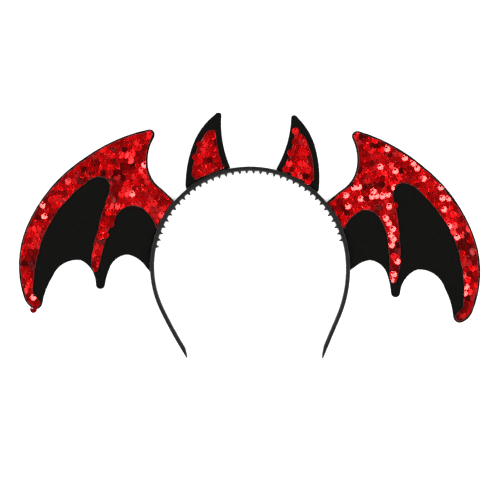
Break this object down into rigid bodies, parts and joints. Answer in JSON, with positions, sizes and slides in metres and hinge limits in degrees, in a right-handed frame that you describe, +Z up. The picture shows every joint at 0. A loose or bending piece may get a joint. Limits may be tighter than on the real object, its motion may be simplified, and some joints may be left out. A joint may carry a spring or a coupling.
{
  "type": "devil horns headband",
  "caption": "Toothed plastic hairband with felt devil horns and felt bat wings faced with overlapping round sequins, lying flat on its back.",
  "frame": {"origin": "on the surface that the headband lies on, under the middle of the whole headband", "axes": "+X to the right as seen from the front, +Y towards the crown of the band and the horns, +Z up, out of the sequinned front"},
  "size_m": [0.322, 0.1742, 0.008],
  "materials": {
    "band_plastic": "black moulded plastic, satin",
    "felt": "dense black craft felt, matt, with a fine fibre nap",
    "sequins": "overlapping red metallised sequins sewn in rows on red fabric, with pale pink glints"
  },
  "bodies": {
    "root": {"band": "band_plastic", "wing_left": "felt", "wing_right": "felt", "wing_left_sequins": "sequins", "wing_right_sequins": "sequins", "horn_left": "felt", "horn_right": "felt", "horn_left_sequins": "sequins", "horn_right_sequins": "sequins"}
  },
  "joints": []
}
